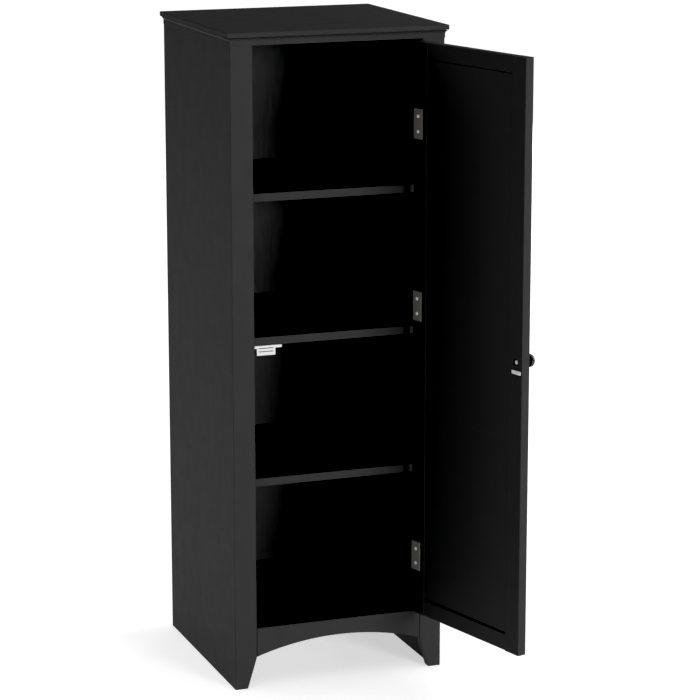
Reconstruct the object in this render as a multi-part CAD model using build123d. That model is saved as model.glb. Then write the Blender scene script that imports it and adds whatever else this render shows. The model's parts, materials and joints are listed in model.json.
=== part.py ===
from build123d import *
import math
import os

# Tall one-door pantry cabinet: a carcass with a face frame, three shelves and an inset door on wrap hinges.
#
# Carcass frame, in millimetres: X to the right, Y from the front face towards the back, Z up from the floor.
# The front face of the face frame is Y = 0, the cabinet is centred on X = 0 and it stands on Z = 0.
# The door is made closed in that frame and then swung open about its hinge pins to the pose it is kept in.
# The written parts are moved so that the origin is on the floor, under the middle of the whole object's box.

# ---- driving dimensions -------------------------------------------------------------------------------
HEIGHT = 1270.0
WIDTH = 426.0
DEPTH = 425.0
BOARD = 16.0                # carcass boards and shelves
FRAME_THICK = 18.0          # face frame and door
STILE_WIDTH = 44.0
FOOT_WIDTH = 25.0           # a stile's foot, where it meets the floor
FOOT_TOP = 62.5             # height at which a foot starts to taper, and the arch springs
ARCH_RISE = 26.5
APRON_TOP = 120.0
APRON_GAP = 0.3             # hairline between the apron and each stile
TOP_THICK = 9.5
TOP_SIDE_OVERHANG = 7.0
TOP_FRONT_OVERHANG = 6.0
CORNICE_HEIGHT = 15.0
CORNICE_OUT = 4.6           # how far the cornice stands out under the top board
CORNICE_FOOT = 0.8          # how far it stands out at its lower edge
CORNICE_COVE = 7.6          # height of its hollow part and what lies above it
CORNICE_QUIRK = 1.3         # narrow groove between it and the top board
CORNICE_LIP = 0.6
BACK_THICK = 3.0
SHELF_SETBACK = 22.0        # shelf front edges behind the front face
SHELF_TOPS = {"shelf_lower": 412.5, "shelf_middle": 689.0, "shelf_upper": 965.0}
EASED = 0.8                 # softened arris on every painted edge

DOOR_OPEN_ANGLE = 105.0     # how far open the door is kept
DOOR_GAP = 2.5              # above and below the door
HINGE_GAP = 3.0             # between the door and the stile it hangs on
LATCH_GAP = 1.5             # between the door and the other stile
DOOR_STILE = 40.0
DOOR_RAIL = 32.0
RAIL_STEP = 1.0             # rails and panel lie this far below the stiles on the inner side
PANEL_RECESS = 8.0          # panel below the frame on the outer side
TONGUE_THICK = 3.0
TONGUE_REACH = 7.0
GROOVE_DEPTH = 8.0
PANEL_SIDE_GAP = 0.4
PANEL_TOP_GAP = 0.3
PANEL_BOTTOM_GAP = 4.5
FIT = 0.1                   # clearance of a glued or driven fit, on each side

HINGE_CENTRES = {"top": 1087.5, "middle": 737.0, "bottom": 239.5}
HINGE_HEIGHT = 57.0
LEAF_THICK = 1.2
LEAF_BEND = 2.2             # outer radius where a leaf turns the corner of its board
PIN_HEAD_RADIUS = 2.3
PIN_HEAD_HEIGHT = 1.4
DOOR_LEAF_REACH = 26.6      # leaf over the door's inner face
FRAME_LEAF_REACH = 23.0     # leaf over the back of the stile
PIN_RADIUS = 1.5
PIN_SETOFF = 2.5            # pin axis in front of the front face
PIN_RUNNING_GAP = 0.05
PIN_HELD_GAP = 0.02
KNUCKLE_LENGTH = 17.0       # each of the two knuckles on the frame leaf
KNUCKLE_GAP = 0.2
HINGE_SCREW_SPACING = 29.0
DOOR_SCREW_INSET = 14.6     # door leaf screws from the door's hinge edge
FRAME_SCREW_INSET = 12.0

KNOB_REACH = 24.5
KNOB_RADIUS = 13.0
KNOB_CROWN = 10.0           # height of the domed part of the knob
KNOB_EDGE = 1.2             # how far its underside draws in below the crown
KNOB_EDGE_DEPTH = 3.0
KNOB_NECK_RADIUS = 5.4
KNOB_NECK = (5.0, 8.0)      # heights its neck runs between
KNOB_FOOT_RADIUS = 8.0
KNOB_FOOT_THICK = 1.5
KNOB_BORE_DEPTH = 12.0
KNOB_FROM_EDGE = 18.5       # knob axis from the free edge of the door
KNOB_SCREW_RADIUS = 2.0
KNOB_SCREW_LENGTH = 25.0
KNOB_SCREW_HEAD = 4.0
KNOB_SCREW_HEAD_HEIGHT = 2.4
KNOB_SCREW_HOLE = 6.6       # counterbore for its head
KNOB_SCREW_SINK = 3.0       # depth of the counterbore
STRIKE_FROM_EDGE = 16.0     # middle of the strike from the free edge of the door
STRIKE_WIDTH = 25.5
STRIKE_HEIGHT = 6.8
STRIKE_THICK = 1.2

CATCH_CENTRE_X = -139.7
CATCH_FLANGE_WIDTH = 63.5
CATCH_BODY_WIDTH = 37.0
CATCH_FLANGE_THICK = 5.0
CATCH_HEIGHT = 19.0
CATCH_DEPTH = 26.0
POLE_THICK = 1.6
POLE_WIDTH = 29.0
POLE_PITCH = 6.4            # between the middles of the two pole plates
POLE_RECESS = 1.2           # pole plates behind the face of the housing

# ---- worked out from them -----------------------------------------------------------------------------
HALF = WIDTH / 2
INNER_HALF = HALF - BOARD                       # to the inner face of a side panel
OPENING_HALF = HALF - STILE_WIDTH
CARCASS_TOP = HEIGHT - TOP_THICK
OPENING_TOP = CARCASS_TOP - CORNICE_HEIGHT
CARCASS_BACK = DEPTH - BACK_THICK
DOOR_HINGE_X = OPENING_HALF - HINGE_GAP
DOOR_WIDTH = 2 * OPENING_HALF - HINGE_GAP - LATCH_GAP
DOOR_BOTTOM = APRON_TOP + DOOR_GAP
DOOR_TOP = OPENING_TOP - DOOR_GAP
DOOR_MIDDLE = (DOOR_BOTTOM + DOOR_TOP) / 2
PIN_X = OPENING_HALF - HINGE_GAP / 2
PIN_Y = -PIN_SETOFF
TONGUE_FRONT = PANEL_RECESS
TONGUE_BACK = PANEL_RECESS + TONGUE_THICK
DOOR_INNER = FRAME_THICK - RAIL_STEP            # inner face of the rails and the panel
CATCH_FRONT = FRAME_THICK + STRIKE_THICK + 0.8
CATCH_TOP = SHELF_TOPS["shelf_middle"] - BOARD
STRIKE_MIDDLE = CATCH_TOP - 9.0
POLE_MIDDLE = CATCH_TOP - 8.2

# fasteners: radius and length of the parts that sit in the boards
DOWEL_RADIUS = 4.0
DOWEL_LENGTH = 30.0
DOWEL_IN_SIDE = 10.0
SMALL_DOWEL_RADIUS = 3.0
SMALL_DOWEL_LENGTH = 24.0
CAM_RADIUS = 7.4
CAM_HEIGHT = 12.0
CAM_FROM_END = 24.0
CAM_HOLLOW = 3.3            # radius of the hollow that takes the bolt
CAM_SLOT = (9.0, 1.6, 4.0)  # driver slot, centred on the cam's face
CAM_ROWS = (60.0, 366.0)
BOLT_THREAD = 11.0          # length of the bolt that screws into a side panel
BOLT_STEPS = ((2.5, BOLT_THREAD), (3.0, 16.0), (1.8, 5.0), (2.8, 3.0))  # radius and length
BOLT_BORE = 3.6             # radius of the hole it runs through
DOWEL_ROWS = (110.0, 316.0)
SHELF_PIN_RADIUS = 2.5
SHELF_PIN_ROWS = (62.0, 370.0)
SHELF_PIN_PITCH = 32.0
SHELF_PIN_IN_SIDE = 8.0
SHELF_PIN_OUT = 8.0
SCREW_RADIUS = 1.75
SCREW_LENGTH = 14.0
PAN_RADIUS = 3.3
PAN_HEIGHT = 2.0


# ---- shapes used again and again ----------------------------------------------------------------------
def block(x, y, z):
    """Box between low and high values on each axis."""
    size = (x[1] - x[0], y[1] - y[0], z[1] - z[0])
    return Pos(x[0], y[0], z[0]) * Box(*size, align=(Align.MIN,) * 3)


def rod(start, direction, radius, length):
    """Round bar that runs from a start point along a direction."""
    bar = Cylinder(radius, length, align=(Align.CENTER, Align.CENTER, Align.MIN))
    return Plane(origin=start, z_dir=direction) * bar


def slab(outline, y):
    """Board with an outline drawn in X and Z, between two values of Y."""
    board = extrude(make_face(outline), amount=y[1] - y[0])
    return Pos(0, y[1], 0) * (Plane.XZ * board)


def placed(seat, outward, local):
    """Moves a fastener drawn along Z so that its seat is at a point and its head looks outward."""
    across = (1, 0, 0) if outward[2] else (0, 0, 1)
    return Plane(origin=seat, x_dir=across, z_dir=outward) * local


def slot_recess(radius, z):
    """Straight driver slot, to be cut across the end of a screw's head at a height."""
    return Pos(0, 0, z) * Box(3 * radius, radius * 0.5, radius * 0.8)


def cross_recess(radius, z):
    """Cross-shaped driver recess, to be cut in the end of a screw's head at a height."""
    long, short = radius * 1.3, radius * 0.28
    deep = radius * 0.7
    return Pos(0, 0, z) * (Box(long, short, deep) + Box(short, long, deep))


def pointed_shank(radius, length):
    """Screw's shank down the Z axis, with a pointed end."""
    point = 2 * radius
    straight = Pos(0, 0, -(length - point) / 2) * Cylinder(radius, length - point)
    return straight + Pos(0, 0, point / 2 - length) * Cone(0.3, radius, point)


def pan_screw(seat, outward, radius=PAN_RADIUS, height=PAN_HEIGHT, shank=SCREW_RADIUS, length=SCREW_LENGTH):
    """Wood screw with a rounded, slotted head that stands on its seat."""
    head = Pos(0, 0, height / 2) * Cylinder(radius, height)
    head = fillet(head.edges().sort_by(Axis.Z)[-1], height * 0.45)
    head -= slot_recess(radius, height)
    return placed(seat, outward, head + pointed_shank(shank, length))


def flat_screw(seat, outward, radius, shank, length):
    """Wood screw with a countersunk head that lies level with its seat."""
    depth = radius - shank
    head = Pos(0, 0, -depth / 2) * Cone(shank, radius, depth)
    body = head + Pos(0, 0, -depth) * pointed_shank(shank, length - depth)
    return placed(seat, outward, body - cross_recess(radius, 0))


def flat_screw_hole(seat, outward, radius, shank, length):
    """Countersunk hole for a flat-headed screw."""
    depth = radius - shank
    head = Pos(0, 0, -depth / 2) * Cone(shank + FIT, radius + FIT, depth)
    bore = Pos(0, 0, -length / 2) * Cylinder(shank + FIT, length)
    return placed(seat, outward, head + bore)


def dowel(middle, direction, radius, length, grow=0.0):
    """Round peg centred on a point; grow makes its hole instead."""
    along = Vector(*direction).normalized()
    start = Vector(*middle) - along * (length / 2 + grow)
    return rod(start, along, radius + grow, length + 2 * grow)


def drilled(base, tools):
    """Base with every tool cut out of it."""
    for tool in tools:
        base = base - tool
    return base


def eased(solid, edges, amount=EASED):
    """Solid with some of its edges softened."""
    return chamfer(edges, amount) if len(edges) else solid


# ---- joinery of the carcass ---------------------------------------------------------------------------
def fixed_panels():
    """Height of the underside of each board that is bolted between the side panels."""
    return (APRON_TOP - BOARD, SHELF_TOPS["shelf_middle"] - BOARD, CARCASS_TOP - BOARD)


def cam_places():
    """Side (-1 left, 1 right), depth and underside of every cam fitting."""
    return [(side, y, low) for low in fixed_panels() for side in (-1, 1) for y in CAM_ROWS]


def cam_lock(side, y, low, grow=0.0):
    """Round cam in the underside of a board, hollow where it grips its bolt."""
    x = side * (INNER_HALF - CAM_FROM_END)
    body = rod((x, y, low - grow), (0, 0, 1), CAM_RADIUS + grow, CAM_HEIGHT + grow)
    if grow:
        return body
    reach = CAM_FROM_END + CAM_RADIUS / 2
    body -= rod((side * INNER_HALF, y, low + BOARD / 2), (-side, 0, 0), CAM_HOLLOW, reach)
    return body - Pos(x, y, low) * Box(*CAM_SLOT)


def cam_bolt(side, y, low, grow=0.0):
    """Bolt that screws into a side panel and is gripped by its cam."""
    z = low + BOARD / 2
    inward = (-side, 0, 0)
    if grow:
        start = (side * (INNER_HALF + BOLT_THREAD + grow), y, z)
        deep = rod(start, inward, BOLT_STEPS[0][0] + grow, BOLT_THREAD + grow)
        return deep + rod((side * INNER_HALF, y, z), inward, BOLT_BORE, CAM_FROM_END)
    x = side * (INNER_HALF + BOLT_THREAD)
    steps = []
    for radius, length in BOLT_STEPS:
        steps.append(rod((x, y, z), inward, radius, length))
        x -= side * length
    return steps[0] + steps[1:]


def panel_dowels(grow=0.0):
    """Dowels between the side panels and the bolted boards."""
    reach = DOWEL_LENGTH / 2 - DOWEL_IN_SIDE
    return [
        dowel((side * (INNER_HALF - reach), y, low + BOARD / 2), (1, 0, 0), DOWEL_RADIUS, DOWEL_LENGTH, grow)
        for low in fixed_panels()
        for side in (-1, 1)
        for y in DOWEL_ROWS
    ]


def frame_dowels(grow=0.0):
    """Dowels that hold the face frame together and to the side panels."""
    pegs = []
    size = (SMALL_DOWEL_RADIUS, SMALL_DOWEL_LENGTH, grow)
    for side in (-1, 1):
        for z in (80.0, 104.0):
            pegs.append(dowel((side * OPENING_HALF, FRAME_THICK / 2, z), (1, 0, 0), *size))
        middle = (CARCASS_TOP + OPENING_TOP) / 2
        pegs.append(dowel((side * OPENING_HALF, FRAME_THICK / 2, middle), (1, 0, 0), *size))
        for z in (180.0, 480.0, 780.0, 1080.0):
            pegs.append(dowel((side * (HALF - BOARD / 2), FRAME_THICK, z), (0, 1, 0), *size))
    return pegs


def shelf_pin_places():
    """Side, depth and axis height of each pin that carries a loose shelf."""
    loose = [SHELF_TOPS[name] - BOARD - SHELF_PIN_RADIUS for name in ("shelf_lower", "shelf_upper")]
    return [(side, y, z) for z in loose for side in (-1, 1) for y in SHELF_PIN_ROWS]


def shelf_pins():
    """Pegs under the two loose shelves, each with a collar against the side panel."""
    pins = []
    for side, y, z in shelf_pin_places():
        start = (side * (INNER_HALF + SHELF_PIN_IN_SIDE), y, z)
        peg = rod(start, (-side, 0, 0), SHELF_PIN_RADIUS, SHELF_PIN_IN_SIDE + SHELF_PIN_OUT)
        pins.append(peg)
    return pins


def shelf_pin_holes(side):
    """Each pin's hole in one side panel, with a spare hole above it and below it."""
    holes = []
    for which, y, z in shelf_pin_places():
        if which == side:
            for step in (-1, 0, 1):
                mouth = (side * INNER_HALF, y, z + step * SHELF_PIN_PITCH)
                holes.append(rod(mouth, (side, 0, 0), SHELF_PIN_RADIUS + FIT, SHELF_PIN_IN_SIDE + FIT))
    return holes


def nail_places():
    """X and Z of the nails round the edge of the back panel and along the middle shelf."""
    across = [-130.0, 0.0, 130.0]
    up = [170.0, 390.0, 610.0, 830.0, 1050.0, 1230.0]
    rows = [APRON_TOP - BOARD / 2, SHELF_TOPS["shelf_middle"] - BOARD / 2, CARCASS_TOP - BOARD / 2]
    edges = [(side * (HALF - BOARD / 2), z) for side in (-1, 1) for z in up]
    return edges + [(x, z) for z in rows for x in across]


def back_panel_nails(grow=0.0):
    """Short nails with flat heads, driven in from behind."""
    nails = []
    for x, z in nail_places():
        shank = rod((x, DEPTH, z), (0, -1, 0), 0.8 + grow, 14.0 + grow)
        nails.append(shank if grow else shank + rod((x, DEPTH, z), (0, 1, 0), 2.2, 0.6))
    return nails


def top_screw_places():
    """Screws that hold the top board, driven up through the board under it."""
    return [(x, y) for x in (-150.0, 150.0) for y in (60.0, 366.0)]


def top_board_screws(make=flat_screw):
    """Countersunk screws under the top board, or their holes."""
    low = CARCASS_TOP - BOARD
    return [make((x, y, low), (0, 0, -1), 3.6, SCREW_RADIUS, BOARD + 6.0) for x, y in top_screw_places()]


# ---- carcass ------------------------------------------------------------------------------------------
def side_panel(side):
    """Board from the floor to the top board, behind the face frame."""
    x = sorted((side * INNER_HALF, side * HALF))
    board = block(x, (FRAME_THICK, CARCASS_BACK), (0, CARCASS_TOP))
    bolts = [cam_bolt(*place, grow=FIT) for place in cam_places() if place[0] == side]
    nails = back_panel_nails(FIT)
    return drilled(board, bolts + panel_dowels(FIT) + frame_dowels(FIT) + shelf_pin_holes(side) + nails)


def bolted_board(y_front, low):
    """Board between the side panels, with its cam, bolt, dowel and nail holes."""
    board = block((-INNER_HALF, INNER_HALF), (y_front, CARCASS_BACK), (low, low + BOARD))
    places = [place for place in cam_places() if place[2] == low]
    cams = [cam_lock(*place, grow=FIT) for place in places]
    bolts = [cam_bolt(*place, grow=FIT) for place in places]
    return drilled(board, cams + bolts + panel_dowels(FIT) + back_panel_nails(FIT))


def bottom_panel():
    """Floor of the cabinet, level with the top of the apron."""
    return bolted_board(FRAME_THICK, APRON_TOP - BOARD)


def top_panel():
    """Board under the top board, which ties the side panels."""
    return drilled(bolted_board(FRAME_THICK, CARCASS_TOP - BOARD), top_board_screws(flat_screw_hole))


def shelf_middle():
    """Fixed shelf, which also carries the catch."""
    board = bolted_board(SHELF_SETBACK, SHELF_TOPS["shelf_middle"] - BOARD)
    board = eased(board, front_arrises(board))
    return drilled(board, catch_screws(hole=True))


def loose_shelf(name):
    """Shelf that lies on four pins."""
    top = SHELF_TOPS[name]
    half = INNER_HALF - 0.5
    board = block((-half, half), (SHELF_SETBACK, CARCASS_BACK - 2.0), (top - BOARD, top))
    return eased(board, front_arrises(board))


def front_arrises(board):
    """The two long edges at the front of a board."""
    return board.edges().filter_by(Axis.X).group_by(Axis.Y)[0]


def back_panel():
    """Thin sheet nailed to the back edges."""
    sheet = block((1 - HALF, HALF - 1), (CARCASS_BACK, DEPTH), (APRON_TOP - BOARD, CARCASS_TOP - 1))
    return drilled(sheet, back_panel_nails(FIT))


def top_board():
    """Thin top with a small overhang at the front and sides."""
    half = HALF + TOP_SIDE_OVERHANG
    board = block((-half, half), (-TOP_FRONT_OVERHANG, DEPTH), (CARCASS_TOP, HEIGHT))
    rim = board.edges().group_by(Axis.Z)[-1]
    lower = board.edges().group_by(Axis.Z)[0]
    board = chamfer(rim + lower, EASED)
    return drilled(board, top_board_screws(flat_screw_hole))


# ---- face frame and cornice ---------------------------------------------------------------------------
def front_stile(side):
    """Upright of the face frame, tapered on its inner side to a foot."""
    outline = Polyline(
        (side * HALF, 0),
        (side * (HALF - FOOT_WIDTH), 0),
        (side * OPENING_HALF, FOOT_TOP),
        (side * OPENING_HALF, CARCASS_TOP),
        (side * HALF, CARCASS_TOP),
        close=True,
    )
    post = slab(outline, (0, FRAME_THICK))
    uprights = post.edges().filter_by(Axis.Z).group_by(Axis.Y)[0]
    post = eased(post, uprights)
    holes = frame_dowels(FIT)
    if side > 0:
        holes += hinge_frame_screws(hole=True)
    return drilled(post, holes)


def apron():
    """Lower rail of the face frame, cut to an arch between the feet."""
    half = OPENING_HALF - APRON_GAP
    outline = Polyline((half, FOOT_TOP), (half, APRON_TOP), (-half, APRON_TOP), (-half, FOOT_TOP))
    outline += ThreePointArc((-half, FOOT_TOP), (0, FOOT_TOP + ARCH_RISE), (half, FOOT_TOP))
    rail = slab(outline, (0, FRAME_THICK))
    front = rail.edges().group_by(Axis.Y)[0]
    straight = front.filter_by(Axis.X) + front.filter_by(Axis.Z)
    return drilled(eased(rail, straight), frame_dowels(FIT))


def top_rail():
    """Upper rail of the face frame, behind the cornice."""
    rail = block((-OPENING_HALF, OPENING_HALF), (0, FRAME_THICK), (OPENING_TOP, CARCASS_TOP))
    return drilled(rail, frame_dowels(FIT))


def cornice_outline(base_x, outward):
    """Section of the cornice in X and Z: flat back, straight foot, a hollow and a groove at the top."""
    def at(out, z):
        return (base_x + outward * out, z)

    top = CARCASS_TOP
    hollow_foot = top - CORNICE_COVE
    quirk_foot = top - CORNICE_QUIRK
    lip = quirk_foot - CORNICE_LIP
    bulge = (CORNICE_FOOT + 0.32 * (CORNICE_OUT - CORNICE_FOOT), hollow_foot + 0.68 * (lip - hollow_foot))
    outline = Polyline(
        at(CORNICE_OUT, lip),
        at(CORNICE_OUT, quirk_foot),
        at(CORNICE_FOOT, quirk_foot),
        at(CORNICE_FOOT, top),
        at(0, top),
        at(0, OPENING_TOP),
        at(CORNICE_FOOT, OPENING_TOP),
        at(CORNICE_FOOT, hollow_foot),
    )
    return outline + ThreePointArc(at(CORNICE_FOOT, hollow_foot), at(*bulge), at(CORNICE_OUT, lip))


def mitred(strip, corners):
    """Strip cut to a plan outline, which mitres its ends."""
    face = make_face(Polyline(*corners, close=True))
    return strip & (Pos(0, 0, OPENING_TOP - 1) * extrude(face, amount=CORNICE_HEIGHT + 2))


def cornice_side(side):
    """Cornice along one side, mitred at the front corner."""
    strip = slab(cornice_outline(side * HALF, side), (-CORNICE_OUT, DEPTH - BACK_THICK))
    far = side * (HALF + CORNICE_OUT)
    near = side * HALF
    return mitred(strip, [(near, 0), (far, -CORNICE_OUT), (far, DEPTH), (near, DEPTH)])


def cornice_front():
    """Cornice across the front, mitred at both ends."""
    length = WIDTH + 2 * CORNICE_OUT
    strip = slab(cornice_outline(0, -1), (0, length))
    strip = Pos(length / 2, 0, 0) * Rot(0, 0, 90) * strip
    out = HALF + CORNICE_OUT
    return mitred(strip, [(-HALF, 0), (-out, -CORNICE_OUT), (out, -CORNICE_OUT), (HALF, 0)])


# ---- door ---------------------------------------------------------------------------------------------
def door_block(u, v, z):
    """Box on the closed door: u from the hinge edge, v from the outer face inwards."""
    return block((DOOR_HINGE_X - u[1], DOOR_HINGE_X - u[0]), v, z)


def swung(shape):
    """Closed door part, swung open about the hinge pins."""
    return Pos(PIN_X, PIN_Y, 0) * Rot(0, 0, DOOR_OPEN_ANGLE) * Pos(-PIN_X, -PIN_Y, 0) * shape


def door_groove():
    """Groove for the panel's tongue, all round the inner edges of the frame."""
    u = (DOOR_STILE - GROOVE_DEPTH, DOOR_WIDTH - DOOR_STILE + GROOVE_DEPTH)
    z = (DOOR_BOTTOM + DOOR_RAIL - GROOVE_DEPTH, DOOR_TOP - DOOR_RAIL + GROOVE_DEPTH)
    return door_block(u, (TONGUE_FRONT - FIT, TONGUE_BACK + FIT), z)


def door_dowels(grow=0.0):
    """Dowels between the door's rails and stiles."""
    pegs = []
    for u in (DOOR_STILE, DOOR_WIDTH - DOOR_STILE):
        for z in (DOOR_BOTTOM + 12, DOOR_TOP - 12):
            middle = (DOOR_HINGE_X - u, DOOR_INNER / 2 + 0.3, z)
            pegs.append(dowel(middle, (1, 0, 0), SMALL_DOWEL_RADIUS, SMALL_DOWEL_LENGTH, grow))
    return pegs


def door_stile(u):
    """Upright of the door between two distances from its hinge edge."""
    post = door_block(u, (0, FRAME_THICK), (DOOR_BOTTOM, DOOR_TOP))
    post = chamfer(post.edges().filter_by(Axis.Z), EASED)
    return drilled(post, [door_groove()] + door_dowels(FIT))


def door_stile_hinge():
    """Stile that carries the door leaves of the hinges."""
    return drilled(door_stile((0, DOOR_STILE)), hinge_door_screws(hole=True))


def door_stile_free():
    """Stile that carries the knob and the strike."""
    post = door_stile((DOOR_WIDTH - DOOR_STILE, DOOR_WIDTH))
    return drilled(post, [knob_screw_hole(), strike_screw(hole=True)])


def door_rail(low):
    """Rail of the door, from its lower edge."""
    u = (DOOR_STILE, DOOR_WIDTH - DOOR_STILE)
    rail = door_block(u, (0, DOOR_INNER), (low, low + DOOR_RAIL))
    rail = chamfer(rail.edges().filter_by(Axis.X), EASED)
    return drilled(rail, [door_groove()] + door_dowels(FIT))


def door_panel():
    """Flat panel with a thin tongue all round; its field stops short of the lower rail."""
    field_u = (DOOR_STILE + PANEL_SIDE_GAP, DOOR_WIDTH - DOOR_STILE - PANEL_SIDE_GAP)
    field_z = (DOOR_BOTTOM + DOOR_RAIL + PANEL_BOTTOM_GAP, DOOR_TOP - DOOR_RAIL - PANEL_TOP_GAP)
    tongue_u = (DOOR_STILE - TONGUE_REACH, DOOR_WIDTH - DOOR_STILE + TONGUE_REACH)
    tongue_z = (DOOR_BOTTOM + DOOR_RAIL - TONGUE_REACH, DOOR_TOP - DOOR_RAIL + TONGUE_REACH)
    field = door_block(field_u, (TONGUE_FRONT, DOOR_INNER), field_z)
    return field + door_block(tongue_u, (TONGUE_FRONT, TONGUE_BACK), tongue_z)


# ---- knob and strike ----------------------------------------------------------------------------------
def knob_axis(v):
    """Point on the knob's axis, v inwards from the outer face of the closed door."""
    return (DOOR_HINGE_X - DOOR_WIDTH + KNOB_FROM_EDGE, v, DOOR_MIDDLE)


def knob():
    """Turned knob with a round crown and a blind hole for its screw."""
    rim = KNOB_REACH - KNOB_CROWN
    ball = (KNOB_RADIUS**2 + KNOB_CROWN**2) / (2 * KNOB_CROWN)
    middle = KNOB_REACH - ball
    turn = math.atan2(KNOB_RADIUS, rim - middle) / 2
    outline = Polyline(
        (0, KNOB_REACH),
        (0, 0),
        (KNOB_FOOT_RADIUS, 0),
        (KNOB_FOOT_RADIUS, KNOB_FOOT_THICK),
        (KNOB_NECK_RADIUS, KNOB_NECK[0]),
        (KNOB_NECK_RADIUS, KNOB_NECK[1]),
        (KNOB_RADIUS - KNOB_EDGE, rim - KNOB_EDGE_DEPTH),
        (KNOB_RADIUS, rim),
    )
    crown = (ball * math.sin(turn), middle + ball * math.cos(turn))
    outline += ThreePointArc((KNOB_RADIUS, rim), crown, (0, KNOB_REACH))
    body = revolve(Plane.XZ * make_face(outline), Axis.Z)
    body -= Cylinder(KNOB_SCREW_RADIUS + PIN_RUNNING_GAP, 2 * KNOB_BORE_DEPTH)
    return placed(knob_axis(0), (0, -1, 0), body)


def knob_screw():
    """Machine screw in a counterbore on the inner side, which holds the knob."""
    height = KNOB_SCREW_HEAD_HEIGHT
    head = Pos(0, 0, height / 2) * Cylinder(KNOB_SCREW_HEAD, height)
    head = fillet(head.edges().sort_by(Axis.Z)[-1], 0.7 * height) - cross_recess(KNOB_SCREW_HEAD, height)
    shank = Pos(0, 0, -KNOB_SCREW_LENGTH / 2) * Cylinder(KNOB_SCREW_RADIUS, KNOB_SCREW_LENGTH)
    return placed(knob_axis(FRAME_THICK - KNOB_SCREW_SINK), (0, 1, 0), head + shank)


def knob_screw_hole():
    """Counterbore and bore for the knob's screw."""
    seat = knob_axis(FRAME_THICK - KNOB_SCREW_SINK)
    bore = rod(seat, (0, -1, 0), KNOB_SCREW_RADIUS + FIT, FRAME_THICK)
    return bore + rod(seat, (0, 1, 0), KNOB_SCREW_HOLE, KNOB_SCREW_SINK + 1)


def strike_seat():
    """Middle of the strike's outer face on the closed door."""
    x = DOOR_HINGE_X - DOOR_WIDTH + STRIKE_FROM_EDGE
    return (x, FRAME_THICK + STRIKE_THICK, STRIKE_MIDDLE)


def strike_plate():
    """Small steel plate that the magnet holds."""
    x, _, z = strike_seat()
    wide = (x - STRIKE_WIDTH / 2, x + STRIKE_WIDTH / 2)
    high = (z - STRIKE_HEIGHT / 2, z + STRIKE_HEIGHT / 2)
    plate = block(wide, (FRAME_THICK, FRAME_THICK + STRIKE_THICK), high)
    plate = fillet(plate.edges().filter_by(Axis.Y), 1.0)
    return drilled(plate, [strike_screw(hole=True)])


def strike_screw(hole=False):
    """Countersunk screw through the strike, or its hole."""
    make = flat_screw_hole if hole else flat_screw
    return make(strike_seat(), (0, 1, 0), 2.9, 1.4, 12.0)


# ---- catch --------------------------------------------------------------------------------------------
def catch_span(width, margin=0.0):
    """Low and high X of a part of the catch."""
    return (CATCH_CENTRE_X - width / 2 - margin, CATCH_CENTRE_X + width / 2 + margin)


def pole_heights():
    """Low and high Z of the lower and the upper pole plate."""
    middles = (POLE_MIDDLE - POLE_PITCH / 2, POLE_MIDDLE + POLE_PITCH / 2)
    return [(z - POLE_THICK / 2, z + POLE_THICK / 2) for z in middles]


def catch_pole_plates(margin=0.0):
    """Two steel plates that carry the magnet's pull to the strike."""
    front = CATCH_FRONT - 1.0 if margin else CATCH_FRONT + POLE_RECESS
    back = CATCH_FRONT + CATCH_DEPTH - 4.0 + margin
    return [
        block(catch_span(POLE_WIDTH, margin), (front, back), (z[0] - margin, z[1] + margin))
        for z in pole_heights()
    ]


def catch_magnet(margin=0.0):
    """Flat magnet between the pole plates."""
    lower, upper = pole_heights()
    deep = (CATCH_FRONT + 2.0 - margin, CATCH_FRONT + CATCH_DEPTH - 6.0 + margin)
    return block(catch_span(POLE_WIDTH - 3.0, margin), deep, (lower[1], upper[0]))


def catch_screw_seats():
    """Where the heads of the catch's screws bear on its flange."""
    off = (CATCH_FLANGE_WIDTH + CATCH_BODY_WIDTH) / 4
    y = CATCH_FRONT + CATCH_DEPTH / 2
    return [(CATCH_CENTRE_X + side * off, y, CATCH_TOP - CATCH_FLANGE_THICK) for side in (-1, 1)]


def catch_screws(hole=False):
    """Screws up into the middle shelf, or their holes."""
    if hole:
        return [rod(seat, (0, 0, 1), SCREW_RADIUS + FIT, SCREW_LENGTH + 1) for seat in catch_screw_seats()]
    return [pan_screw(seat, (0, 0, -1), radius=3.2) for seat in catch_screw_seats()]


def catch_housing():
    """Moulded housing with a flange along its top, and slots that the pole plates show through."""
    deep = (CATCH_FRONT, CATCH_FRONT + CATCH_DEPTH)
    flange = block(catch_span(CATCH_FLANGE_WIDTH), deep, (CATCH_TOP - CATCH_FLANGE_THICK, CATCH_TOP))
    body = block(catch_span(CATCH_BODY_WIDTH), deep, (CATCH_TOP - CATCH_HEIGHT, CATCH_TOP))
    body = chamfer(body.edges().group_by(Axis.Z)[0], 0.8)
    flange = fillet(flange.edges().filter_by(Axis.Z), 1.5)
    return drilled(flange + body, catch_pole_plates(FIT) + [catch_magnet(FIT)] + catch_screws(hole=True))


# ---- hinges -------------------------------------------------------------------------------------------
def hinge_zones(middle):
    """Z ranges of the frame knuckles and of the door knuckle of one hinge."""
    low = middle - HINGE_HEIGHT / 2
    high = middle + HINGE_HEIGHT / 2
    frame = [(low, low + KNUCKLE_LENGTH), (high - KNUCKLE_LENGTH, high)]
    return frame, (low + KNUCKLE_LENGTH + KNUCKLE_GAP, high - KNUCKLE_LENGTH - KNUCKLE_GAP)


def pin_bar(z, radius):
    """Bar on the hinge axis between two heights."""
    return rod((PIN_X, PIN_Y, z[0]), (0, 0, 1), radius, z[1] - z[0])


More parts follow.
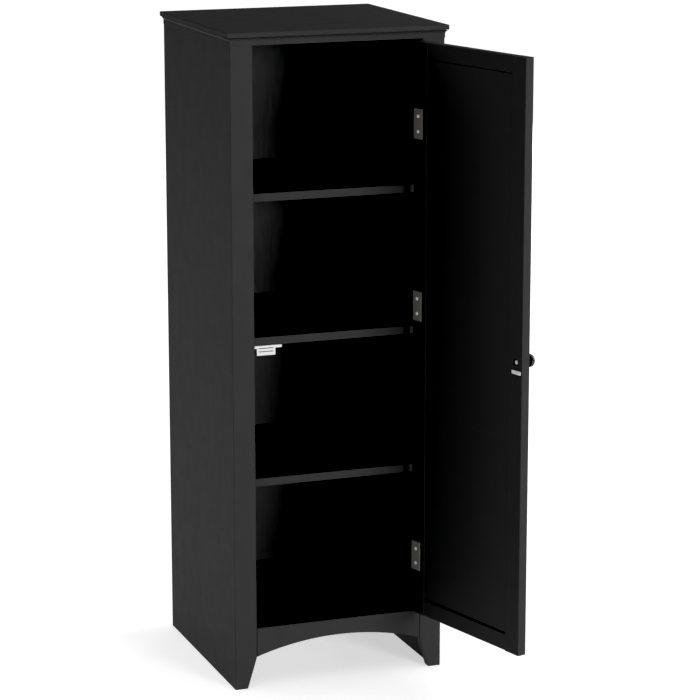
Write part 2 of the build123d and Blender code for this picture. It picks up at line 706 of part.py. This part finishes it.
def hinge_leaf(middle, side, reach, own, other, bore_gap):
    """Leaf that runs back through the door gap and wraps round behind the board it is screwed to."""
    z = (middle - HINGE_HEIGHT / 2, middle + HINGE_HEIGHT / 2)
    face = PIN_X + side * HINGE_GAP / 2
    back = FRAME_THICK + LEAF_THICK
    web = block(sorted((face, face - side * LEAF_THICK)), (PIN_Y, back), z)
    wrap = block(sorted((face - side * LEAF_THICK, face + side * reach)), (FRAME_THICK, back), z)
    bend = (web + wrap).edges().filter_by(Axis.Z).group_by(Axis.Y)[-1].sort_by(Axis.X)
    leaf = fillet(bend[0 if side > 0 else -1], LEAF_BEND)
    barrel = PIN_RADIUS + LEAF_THICK + PIN_RUNNING_GAP
    for zone in other:
        leaf -= pin_bar((zone[0] - KNUCKLE_GAP, zone[1] + KNUCKLE_GAP), barrel + KNUCKLE_GAP)
    for zone in own:
        leaf += pin_bar(zone, barrel)
    return leaf - pin_bar((z[0] - 1, z[1] + 1), PIN_RADIUS + bore_gap)


def hinge_screw_seats(middle, x):
    """Seats of the two screws of one leaf."""
    y = FRAME_THICK + LEAF_THICK
    return [(x, y, middle + step * HINGE_SCREW_SPACING / 2) for step in (-1, 1)]


def leaf_screws(x, hole):
    """Screws of all three leaves on one board, or their holes."""
    seats = [seat for middle in HINGE_CENTRES.values() for seat in hinge_screw_seats(middle, x)]
    if hole:
        return [rod(seat, (0, -1, 0), SCREW_RADIUS + FIT, SCREW_LENGTH + FIT) for seat in seats]
    return [pan_screw(seat, (0, 1, 0)) for seat in seats]


def hinge_door_screws(hole=False):
    """Screws into the back of the door's hinge stile."""
    return leaf_screws(DOOR_HINGE_X - DOOR_SCREW_INSET, hole)


def hinge_frame_screws(hole=False):
    """Screws into the back of the cabinet's right stile."""
    return leaf_screws(OPENING_HALF + FRAME_SCREW_INSET, hole)


def hinge_door_leaf(middle):
    """Leaf with the middle knuckle, which turns on the pin."""
    frame, door = hinge_zones(middle)
    leaf = hinge_leaf(middle, -1, DOOR_LEAF_REACH, [door], frame, PIN_RUNNING_GAP)
    return drilled(leaf, hinge_door_screws(hole=True))


def hinge_frame_leaf(middle):
    """Leaf with the two outer knuckles, which hold the pin."""
    frame, door = hinge_zones(middle)
    leaf = hinge_leaf(middle, 1, FRAME_LEAF_REACH, frame, [door], PIN_HELD_GAP)
    return drilled(leaf, hinge_frame_screws(hole=True))


def hinge_pin(middle):
    """Pin with a small domed head at each end."""
    z = (middle - HINGE_HEIGHT / 2, middle + HINGE_HEIGHT / 2)
    upper = pin_bar((z[1], z[1] + PIN_HEAD_HEIGHT), PIN_HEAD_RADIUS)
    lower = pin_bar((z[0] - PIN_HEAD_HEIGHT, z[0]), PIN_HEAD_RADIUS)
    upper = fillet(upper.edges().sort_by(Axis.Z)[-1], 1.0)
    lower = fillet(lower.edges().sort_by(Axis.Z)[0], 1.0)
    return pin_bar(z, PIN_RADIUS) + upper + lower


# ---- everything together ------------------------------------------------------------------------------
def cabinet_nodes():
    """Every node that stands still."""
    nodes = {
        "side_panel_left": side_panel(-1),
        "side_panel_right": side_panel(1),
        "bottom_panel": bottom_panel(),
        "top_panel": top_panel(),
        "shelf_lower": loose_shelf("shelf_lower"),
        "shelf_middle": shelf_middle(),
        "shelf_upper": loose_shelf("shelf_upper"),
        "back_panel": back_panel(),
        "top_board": top_board(),
        "front_stile_left": front_stile(-1),
        "front_stile_right": front_stile(1),
        "top_rail": top_rail(),
        "apron": apron(),
        "cornice_front": cornice_front(),
        "cornice_left": cornice_side(-1),
        "cornice_right": cornice_side(1),
        "cam_locks": [cam_lock(*place) for place in cam_places()],
        "cam_bolts": [cam_bolt(*place) for place in cam_places()],
        "panel_dowels": panel_dowels(),
        "frame_dowels": frame_dowels(),
        "shelf_pins": shelf_pins(),
        "back_panel_nails": back_panel_nails(),
        "top_board_screws": top_board_screws(),
        "catch_housing": catch_housing(),
        "catch_magnet": catch_magnet(),
        "catch_pole_plates": catch_pole_plates(),
        "catch_screws": catch_screws(),
        "hinge_frame_screws": hinge_frame_screws(),
    }
    for place, middle in HINGE_CENTRES.items():
        nodes[f"hinge_frame_leaf_{place}"] = hinge_frame_leaf(middle)
        nodes[f"hinge_pin_{place}"] = hinge_pin(middle)
    return nodes


def door_nodes():
    """Every node that swings with the door, made closed."""
    nodes = {
        "door_stile_hinge": door_stile_hinge(),
        "door_stile_free": door_stile_free(),
        "door_rail_top": door_rail(DOOR_TOP - DOOR_RAIL),
        "door_rail_bottom": door_rail(DOOR_BOTTOM),
        "door_panel": door_panel(),
        "door_dowels": door_dowels(),
        "hinge_door_screws": hinge_door_screws(),
        "knob": knob(),
        "knob_screw": knob_screw(),
        "strike_plate": strike_plate(),
        "strike_screw": strike_screw(),
    }
    for place, middle in HINGE_CENTRES.items():
        nodes[f"hinge_door_leaf_{place}"] = hinge_door_leaf(middle)
    return nodes


def as_list(shapes):
    """A node's shapes, whether it has one solid or a group of them."""
    return list(shapes) if isinstance(shapes, list) else [shapes]


def main():
    """Writes every node, with the origin on the floor under the middle of the object's box."""
    nodes = {name: as_list(shapes) for name, shapes in cabinet_nodes().items()}
    for name, shapes in door_nodes().items():
        nodes[name] = [swung(shape) for shape in as_list(shapes)]
    every_solid = [solid for shapes in nodes.values() for shape in shapes for solid in shape.solids()]
    box = Compound(every_solid).bounding_box()
    middle = Vector((box.min.X + box.max.X) / 2, (box.min.Y + box.max.Y) / 2, 0)
    print("origin in the carcass frame", middle)
    print("hinge axis at", PIN_X - middle.X, PIN_Y - middle.Y)
    print("box", box.size)
    os.makedirs("parts", exist_ok=True)
    for name, shapes in nodes.items():
        placed_solids = [Pos(-middle.X, -middle.Y, 0) * solid for shape in shapes for solid in shape.solids()]
        whole = placed_solids[0] if len(placed_solids) == 1 else Compound(children=placed_solids)
        export_step(whole, f"parts/{name}.step")


main()
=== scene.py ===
from collections import namedtuple
import json
import math

import bpy
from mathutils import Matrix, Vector


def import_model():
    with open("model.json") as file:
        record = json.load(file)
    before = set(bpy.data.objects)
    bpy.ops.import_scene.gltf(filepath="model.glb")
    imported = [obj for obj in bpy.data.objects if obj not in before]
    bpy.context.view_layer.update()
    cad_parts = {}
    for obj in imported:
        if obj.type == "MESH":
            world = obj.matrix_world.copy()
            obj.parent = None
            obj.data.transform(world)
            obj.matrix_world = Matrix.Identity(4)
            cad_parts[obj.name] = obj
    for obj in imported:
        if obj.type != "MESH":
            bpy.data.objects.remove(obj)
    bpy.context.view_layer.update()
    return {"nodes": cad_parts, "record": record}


# Looks of the pantry cabinet: paint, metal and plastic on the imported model, in a pale studio.
# Lengths are in metres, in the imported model's frame.

# ---- camera -------------------------------------------------------------------------------------------
CAMERA_PLACE = Vector((-1.7954, -4.8771, 1.8226))
CAMERA_TURN = math.radians(-20.36)          # about Z, from looking along +Y
CAMERA_TILT = math.radians(-12.76)          # from the horizon, upwards
CAMERA_LENS = 142.2                         # mm, on a 36 mm sensor

# ---- studio -------------------------------------------------------------------------------------------
WHITE = (1.0, 1.0, 1.0, 1.0)
FLOOR_RADIUS = 9.0
FLOOR_SIDES = 96
FLOOR_COLOUR = (0.67, 0.67, 0.67)
FLOOR_SHADE = tuple(0.99 * part for part in FLOOR_COLOUR)   # its slightly darker patches
FLOOR_ROUGHNESS = 0.7
FLOOR_GLOW = 0.58                           # keeps the floor white in the object's shadow
BACKDROP_BRIGHTNESS = 1.05                  # what the camera sees past the floor
ROOM_BRIGHTNESS = 0.08                      # what lights the object from all round
BLACK_LEVEL = 0.0142                        # brightness shown as full black
SUN_STRENGTH = 1.7
SUN_SOFTNESS = math.radians(80.0)

# A lamp has a place, the point it is aimed at, the width and height of its panel, and its power in watts.
Lamp = namedtuple("Lamp", "name place target width height power")
LAMPS = (
    Lamp("key", (3.9, -10.6, 2.2), (0.0, 0.0, 0.60), 3.0, 3.0, 1140.0),
    Lamp("left", (-6.6, 3.4, 4.2), (0.0, 0.0, 1.00), 1.2, 3.0, 72.0),
    Lamp("right", (6.5, 1.2, 2.0), (0.0, 0.0, 0.65), 3.0, 3.0, 155.0),
    Lamp("back", (4.2, 6.4, 1.0), (0.0, 0.0, 0.60), 2.4, 1.6, 95.0),
)

# ---- finishes -----------------------------------------------------------------------------------------
# A finish has the colours of its darker and lighter patches and of its edges, painted lighter partly as wear
# and partly as a painted highlight, its range of roughness, and how far an edge is rounded, worn and painted
# lighter.
Finish = namedtuple("Finish", "dark light edge rough rim")


def grey(value):
    """A neutral colour."""
    return (value, value, value)


PAINT = Finish((0.0194, 0.0194, 0.0196), (0.0210, 0.0210, 0.0212), (0.0280, 0.0280, 0.0285),
               (0.67, 0.705), 0.0012)
# Its colours are darker than the paint's: partly the board's own black, partly painted shade of the
# cabinet's dim inside.
HARDBOARD = Finish((0.0090, 0.0090, 0.0094), (0.0125, 0.0125, 0.0130), (0.0200, 0.0190, 0.0175),
                   (0.62, 0.70), 0.0008)
BEECH = Finish((0.52, 0.34, 0.19), (0.78, 0.60, 0.40), (0.84, 0.68, 0.48), (0.5, 0.7), 0.0004)
GREY_STEEL = Finish((0.155, 0.148, 0.138), (0.225, 0.215, 0.200), (0.3038, 0.2903, 0.2700),
                    (0.38, 0.55), 0.0012)
BLACK_STEEL = Finish(grey(0.030), grey(0.060), grey(0.081), (0.45, 0.60), 0.0003)
BRIGHT_STEEL = Finish(grey(0.62), grey(0.78), grey(1.0), (0.20, 0.34), 0.0003)
ZINC_STEEL = Finish((0.50, 0.51, 0.53), (0.68, 0.68, 0.66), (0.918, 0.918, 0.891), (0.30, 0.48), 0.0003)
PLASTIC = Finish((0.50, 0.50, 0.49), (0.56, 0.56, 0.55), (0.64, 0.64, 0.63), (0.36, 0.50), 0.0004)
FERRITE = Finish((0.035, 0.035, 0.037), (0.075, 0.075, 0.078), (0.110, 0.110, 0.115), (0.5, 0.7), 0.0003)
GLOSS_BLACK = Finish(grey(0.004), grey(0.009), grey(0.020), (0.06, 0.14), 0.0004)

PAINT_GLOSS = 0.20                          # specular level of the satin paint

# Heights of the finest relief
PORE_DEPTH = 0.0001                         # open grain of beech
GRIT_DEPTH = 0.00004                        # pressed ferrite
PEEL_DEPTH = 0.00003                        # lacquer and hardboard
PLATING_DEPTH = 0.00002                     # cloudy plating
HAIR_DEPTH = 0.00001                        # brushing, moulding and polishing marks

# ---- shader details -----------------------------------------------------------------------------------
NOISE_SPAN = (0.35, 0.65)                   # where most values of a noise lie
EDGE_SPAN = (0.80, 0.99)                    # agreement of the rounded and flat normals, edge to flat
EDGE_SAMPLES = 4
MIX_FIRST = 6                               # colour inputs and output of the Mix node
MIX_SECOND = 7
MIX_RESULT = 2


# ---- shader pieces ------------------------------------------------------------------------------------
class Paint:
    """One material under construction: a node tree, its shader and short ways to add nodes."""

    def __init__(self, name):
        self.material = bpy.data.materials.new(name)
        self.material.use_nodes = True
        self.tree = self.material.node_tree
        self.shader = self.tree.nodes["Principled BSDF"]
        self.coordinates = self.node("ShaderNodeTexCoord").outputs["Object"]
        self.rounded = None

    def node(self, kind, **settings):
        """A new node with some of its settings."""
        made = self.tree.nodes.new(kind)
        for key, value in settings.items():
            setattr(made, key, value)
        return made

    def link(self, source, target):
        self.tree.links.new(source, target)

    def feed(self, name, source):
        """Gives the shader's input a plain value or another node's output."""
        if isinstance(source, bpy.types.NodeSocket):
            self.link(source, self.shader.inputs[name])
        else:
            self.shader.inputs[name].default_value = source

    def noise(self, scale, detail=2.0, stretch=(1.0, 1.0, 1.0)):
        """Noise with so many patches in a metre; stretch multiplies them along each axis."""
        mapping = self.node("ShaderNodeMapping")
        mapping.inputs["Scale"].default_value = stretch
        texture = self.node("ShaderNodeTexNoise")
        texture.inputs["Scale"].default_value = scale
        texture.inputs["Detail"].default_value = detail
        self.link(self.coordinates, mapping.inputs["Vector"])
        self.link(mapping.outputs["Vector"], texture.inputs["Vector"])
        return texture.outputs["Fac"]

    def spread(self, value, low, high, span=NOISE_SPAN):
        """Value stretched from a span to low and high, and held between them."""
        ranged = self.node("ShaderNodeMapRange")
        limits = {"From Min": span[0], "From Max": span[1], "To Min": low, "To Max": high}
        for key, limit in limits.items():
            ranged.inputs[key].default_value = limit
        self.link(value, ranged.inputs["Value"])
        return ranged.outputs["Result"]

    def mix(self, factor, first, second):
        """Colour between two, each a colour or another node's output."""
        mixed = self.node("ShaderNodeMix", data_type="RGBA")
        self.link(factor, mixed.inputs["Factor"])
        for place, colour in ((MIX_FIRST, first), (MIX_SECOND, second)):
            if isinstance(colour, tuple):
                mixed.inputs[place].default_value = (*colour, 1.0)
            else:
                self.link(colour, mixed.inputs[place])
        return mixed.outputs[MIX_RESULT]

    def edges(self, radius):
        """1 along the outer edges of a shape and 0 on its flats; the edges also shade as rounded."""
        rounded = self.node("ShaderNodeBevel", samples=EDGE_SAMPLES)
        rounded.inputs["Radius"].default_value = radius
        self.rounded = rounded.outputs["Normal"]
        geometry = self.node("ShaderNodeNewGeometry")
        dot = self.node("ShaderNodeVectorMath", operation="DOT_PRODUCT")
        self.link(self.rounded, dot.inputs[0])
        self.link(geometry.outputs["Normal"], dot.inputs[1])
        return self.spread(dot.outputs["Value"], 1.0, 0.0, EDGE_SPAN)

    def surface(self, finish, patches, shine, specks=None):
        """Colour and roughness of a finish, each following a pattern, with specks, and with edges painted
        lighter, partly worn through and partly as a painted highlight.
        """
        base = self.mix(patches, finish.dark, finish.light)
        if specks is not None:
            base = self.mix(specks, base, finish.edge)
        # The edges are painted in the lighter edge colour: partly rubbed wear, partly a painted highlight
        # along the arrises.
        self.feed("Base Color", self.mix(self.edges(finish.rim), base, finish.edge))
        self.feed("Roughness", self.spread(shine, *finish.rough))

    def bumps(self, *layers):
        """Bump from layers of (value, height), finest last, over the rounded edges."""
        normal = self.rounded
        for value, height in layers:
            bump = self.node("ShaderNodeBump")
            bump.inputs["Distance"].default_value = height
            self.link(value, bump.inputs["Height"])
            self.link(normal, bump.inputs["Normal"])
            normal = bump.outputs["Normal"]
        self.feed("Normal", normal)


# ---- materials ----------------------------------------------------------------------------------------
def black_paint():
    """Satin black lacquer on board: faint clouding, fine orange peel and edges painted a little lighter,
    partly as rubbing and partly as a painted highlight.
    """
    paint = Paint("satin_black_paint")
    paint.feed("Specular IOR Level", PAINT_GLOSS)
    clouds = paint.noise(7.0, detail=3.0)
    specks = paint.spread(paint.noise(420.0), 0.0, 0.35, span=(0.60, 0.75))
    paint.surface(PAINT, patches=clouds, shine=paint.noise(30.0), specks=specks)
    waves = paint.noise(18.0, detail=1.0)
    peel = paint.noise(900.0, detail=1.0)
    paint.bumps((waves, PEEL_DEPTH), (peel, PEEL_DEPTH))
    return paint.material


def black_hardboard():
    """Matt black hardboard, with its fibres just showing; its colour is darkened further as painted shade of
    the cabinet's dim inside.
    """
    paint = Paint("black_hardboard")
    fibres = paint.noise(260.0, detail=4.0, stretch=(1.0, 1.0, 0.18))
    paint.surface(HARDBOARD, patches=fibres, shine=fibres)
    paint.bumps((fibres, PEEL_DEPTH))
    return paint.material


def bare_beech():
    """Bare beech of the dowels, with fine flecks along the grain."""
    paint = Paint("bare_beech")
    grain = paint.noise(300.0, detail=5.0, stretch=(0.12, 1.0, 1.0))
    paint.surface(BEECH, patches=grain, shine=grain)
    paint.bumps((grain, PORE_DEPTH))
    return paint.material


def worn_and_highlit_steel(name, finish, metallic, grain=(1.0, 1.0, 0.1)):
    """Metal with a fine grain, cloudy plating and edges painted brighter, partly as wear and partly as a
    painted highlight.
    """
    paint = Paint(name)
    paint.feed("Metallic", metallic)
    brushed = paint.noise(1600.0, detail=3.0, stretch=grain)
    clouds = paint.noise(120.0, detail=3.0)
    paint.surface(finish, patches=clouds, shine=brushed)
    paint.bumps((clouds, PLATING_DEPTH), (brushed, HAIR_DEPTH))
    return paint.material


def grey_steel():
    """Dull plated steel of the hinges."""
    return worn_and_highlit_steel("grey_steel", GREY_STEEL, metallic=0.4)


def black_steel():
    """Blackened steel of the catch's pole plates."""
    return worn_and_highlit_steel("black_steel", BLACK_STEEL, metallic=0.5)


def bright_steel():
    """Bright plated steel of the strike plate and of the hinge, knob and catch screws."""
    return worn_and_highlit_steel("bright_steel", BRIGHT_STEEL, metallic=0.35)


def zinc_steel():
    """Zinc-plated steel of the cams, shelf pins, nails and top screws, with an even grain."""
    return worn_and_highlit_steel("zinc_steel", ZINC_STEEL, metallic=1.0, grain=(1.0, 1.0, 1.0))


def white_plastic():
    """Moulded white plastic with a fine spark-eroded texture."""
    paint = Paint("white_plastic")
    paint.feed("Subsurface Weight", 0.08)
    paint.feed("Subsurface Radius", (0.004, 0.004, 0.004))
    paint.surface(PLASTIC, patches=paint.noise(90.0), shine=paint.noise(900.0, detail=1.0))
    paint.bumps((paint.noise(2400.0, detail=1.0), HAIR_DEPTH))
    return paint.material


def ferrite():
    """Pressed ferrite of the magnet."""
    paint = Paint("ferrite")
    paint.feed("Metallic", 0.3)
    grit = paint.noise(1800.0, detail=3.0)
    paint.surface(FERRITE, patches=grit, shine=grit)
    paint.bumps((grit, GRIT_DEPTH))
    return paint.material


def gloss_black():
    """Deep gloss black of the knob, with faint handling marks."""
    paint = Paint("gloss_black")
    paint.feed("Coat Weight", 0.3)
    paint.feed("Coat Roughness", 0.04)
    marks = paint.noise(260.0, detail=3.0)
    paint.surface(GLOSS_BLACK, patches=marks, shine=marks)
    paint.bumps((marks, HAIR_DEPTH))
    return paint.material


MATERIALS = {
    "black_paint": black_paint,
    "black_hardboard": black_hardboard,
    "bare_beech": bare_beech,
    "grey_steel": grey_steel,
    "bright_steel": bright_steel,
    "black_steel": black_steel,
    "zinc_steel": zinc_steel,
    "white_plastic": white_plastic,
    "magnet": ferrite,
    "gloss_black": gloss_black,
}


def dress(frame):
    """Gives every CAD node the material of its slot."""
    made = {slot: make() for slot, make in MATERIALS.items()}
    for part in frame["record"]["subparts"]:
        for place in frame["nodes"][part["node"]].material_slots:
            place.material = made[part["material_slot"]]


# ---- studio and camera --------------------------------------------------------------------------------
def put(name, data):
    """A new object of a light, a camera or a mesh, in the scene."""
    holder = bpy.data.objects.new(name, data)
    bpy.context.scene.collection.objects.link(holder)
    return holder


def light(lamp):
    """Soft rectangular lamp, aimed at its target."""
    panel = bpy.data.lights.new(lamp.name, "AREA")
    panel.shape = "RECTANGLE"
    panel.size = lamp.width
    panel.size_y = lamp.height
    panel.energy = lamp.power
    holder = put(lamp.name, panel)
    holder.location = lamp.place
    sight = Vector(lamp.target) - Vector(lamp.place)
    holder.rotation_euler = sight.to_track_quat("-Z", "Y").to_euler()


def pale_floor():
    """Matt pale paint that glows a little."""
    paint = Paint("pale_floor")
    paint.feed("Base Color", paint.mix(paint.noise(3.0), FLOOR_SHADE, FLOOR_COLOUR))
    paint.feed("Roughness", FLOOR_ROUGHNESS)
    paint.feed("Emission Color", WHITE)
    paint.feed("Emission Strength", FLOOR_GLOW)
    return paint.material


def floor():
    """Plain pale floor."""
    mesh = bpy.data.meshes.new("floor")
    turns = [2 * math.pi * step / FLOOR_SIDES for step in range(FLOOR_SIDES)]
    rim = [(FLOOR_RADIUS * math.cos(turn), FLOOR_RADIUS * math.sin(turn), 0.0) for turn in turns]
    mesh.from_pydata(rim, [], [range(FLOOR_SIDES)])
    mesh.materials.append(pale_floor())
    put("floor", mesh)


def sun():
    """Wide soft light from straight above, which keeps the floor even."""
    lamp = bpy.data.lights.new("sun", "SUN")
    lamp.energy = SUN_STRENGTH
    lamp.angle = SUN_SOFTNESS
    put("sun", lamp)


def world():
    """White backdrop for the camera and a dimmer room for everything else."""
    sky = bpy.data.worlds.new("studio")
    sky.use_nodes = True
    bpy.context.scene.world = sky
    nodes = sky.node_tree.nodes
    links = sky.node_tree.links
    room = nodes["Background"]
    room.inputs["Color"].default_value = WHITE
    room.inputs["Strength"].default_value = ROOM_BRIGHTNESS
    backdrop = nodes.new("ShaderNodeBackground")
    backdrop.inputs["Color"].default_value = WHITE
    backdrop.inputs["Strength"].default_value = BACKDROP_BRIGHTNESS
    path = nodes.new("ShaderNodeLightPath")
    choice = nodes.new("ShaderNodeMixShader")
    links.new(path.outputs["Is Camera Ray"], choice.inputs["Fac"])
    links.new(room.outputs["Background"], choice.inputs[1])
    links.new(backdrop.outputs["Background"], choice.inputs[2])
    links.new(choice.outputs["Shader"], nodes["World Output"].inputs["Surface"])


def camera():
    """Long lens at the left of the front, a little above the cabinet's top."""
    lens = bpy.data.cameras.new("camera")
    lens.lens = CAMERA_LENS
    holder = put("camera", lens)
    holder.location = CAMERA_PLACE
    holder.rotation_euler = (math.pi / 2 + CAMERA_TILT, 0.0, CAMERA_TURN)
    bpy.context.scene.camera = holder


def show():
    """How the render is shown: plain colours, with the darkest tones held at black."""
    view = bpy.context.scene.view_settings
    view.view_transform = "Standard"
    view.use_curve_mapping = True
    view.curve_mapping.black_level = grey(BLACK_LEVEL)
    view.curve_mapping.update()


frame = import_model()
dress(frame)
camera()
floor()
world()
sun()
for lamp in LAMPS:
    light(lamp)
show()
